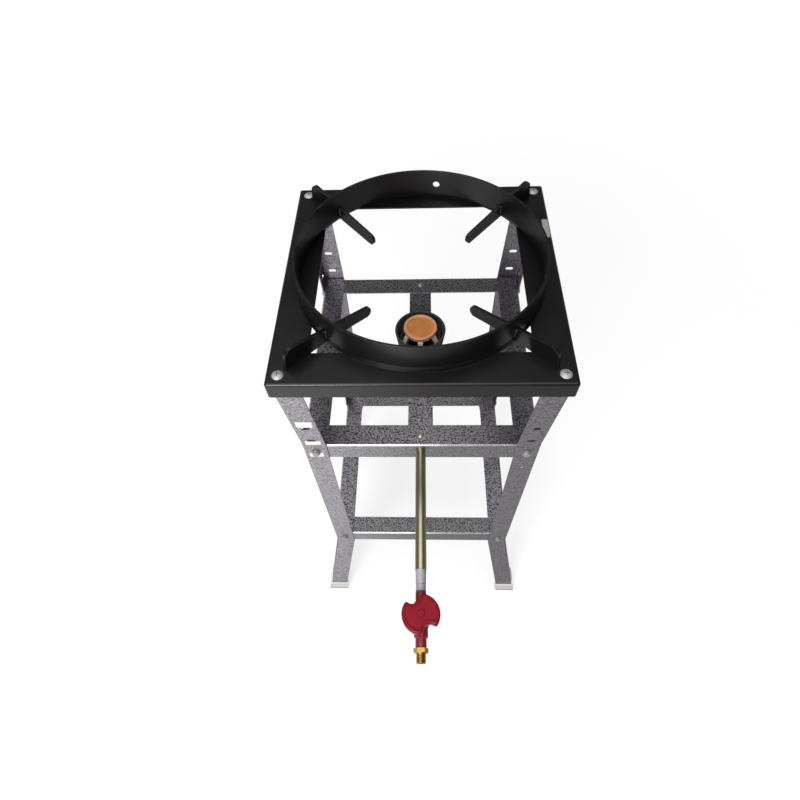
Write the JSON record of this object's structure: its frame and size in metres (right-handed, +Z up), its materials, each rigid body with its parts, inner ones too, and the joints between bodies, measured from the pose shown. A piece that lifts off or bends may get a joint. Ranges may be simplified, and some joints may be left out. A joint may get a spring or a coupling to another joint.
{
  "type": "high-pressure gas stove",
  "caption": "Tall free-standing gas stove: black folded top with a wok ring and fins, bent angle legs, two open shelves, a cast burner with a brass head and a pipe with a red needle valve.",
  "frame": {"origin": "on the floor, under the middle of the burner", "axes": "+Z up, +Y to the back, +X to the right as seen from the side with the valve"},
  "size_m": [0.4646, 0.7263, 0.909],
  "materials": {
    "black_paint": "satin black stove paint, slightly dusty",
    "hammertone_paint": "grey hammertone paint with dark speckle",
    "zinc_plate": "bright zinc plate",
    "yellow_zinc_plate": "yellow passivated zinc plate",
    "brass": "machined brass",
    "heat_tinted_brass": "brass turned orange by heat",
    "cast_iron": "dark sand-cast iron",
    "red_lacquer": "red lacquer on a casting",
    "red_plastic": "moulded dark red plastic",
    "stem_steel": "turned steel",
    "packing_plastic": "white packing",
    "gasket_rubber": "dark sealing ring",
    "foot_plastic": "white moulded plastic"
  },
  "bodies": {
    "stand": {"top_frame": "black_paint", "leg_front_left": "hammertone_paint", "leg_front_right": "hammertone_paint", "leg_rear_left": "hammertone_paint", "leg_rear_right": "hammertone_paint", "burner_rail_front": "hammertone_paint", "burner_rail_rear": "hammertone_paint", "burner_rail_left": "hammertone_paint", "burner_rail_right": "hammertone_paint", "lower_rail_front": "hammertone_paint", "lower_rail_rear": "hammertone_paint", "lower_rail_left": "hammertone_paint", "lower_rail_right": "hammertone_paint", "crossbar": "hammertone_paint", "corner_bolts": "zinc_plate", "corner_nuts": "zinc_plate", "burner_shelf_bolts": "zinc_plate", "burner_shelf_nuts": "zinc_plate", "lower_shelf_bolts": "zinc_plate", "lower_shelf_nuts": "zinc_plate", "pipe_nipple": "zinc_plate", "gas_pipe": "yellow_zinc_plate", "crossbar_screws": "yellow_zinc_plate", "burner_bolts": "yellow_zinc_plate", "burner_crown": "brass", "injector_jet": "brass", "jet_holder": "brass", "valve_bonnet": "brass", "gland_nut": "brass", "inlet_adapter": "brass", "burner_bowl": "cast_iron", "valve_body": "red_lacquer", "stem_packing": "packing_plastic", "nipple_gasket": "gasket_rubber", "foot_cap_front_left": "foot_plastic", "foot_cap_front_right": "foot_plastic", "foot_cap_rear_left": "foot_plastic", "foot_cap_rear_right": "foot_plastic"},
    "pot_support": {"wok_ring": "black_paint", "pot_support_front_left": "black_paint", "pot_support_front_right": "black_paint", "pot_support_rear_left": "black_paint", "pot_support_rear_right": "black_paint"},
    "burner_cap": {"burner_cap": "heat_tinted_brass"},
    "valve_needle": {"valve_needle": "stem_steel"},
    "valve_handle": {"valve_stem": "stem_steel", "valve_handle": "red_plastic", "handle_set_screw": "stem_steel"}
  },
  "joints": [
    {"name": "pot_support_lift", "type": "slide", "parent": "stand", "child": "pot_support", "axis": [0, 0, 1], "range_m": [0, 0.15]},
    {"name": "burner_cap_lift", "type": "slide", "parent": "stand", "child": "burner_cap", "axis": [0, 0, 1], "range_m": [0, 0.06]},
    {"name": "needle_lift", "type": "slide", "parent": "stand", "child": "valve_needle", "axis": [0, 0, 1], "range_m": [0, 0.00225]},
    {"name": "handle_turn", "type": "hinge", "parent": "valve_needle", "child": "valve_handle", "pos_m": [0, -0.441, 0.65725], "axis": [0, 0, 1], "range_deg": [0, 540]}
  ],
  "couplings": [
    {"joint": "needle_lift", "follows": "handle_turn", "m_per_rad": 0.0002387}
  ]
}
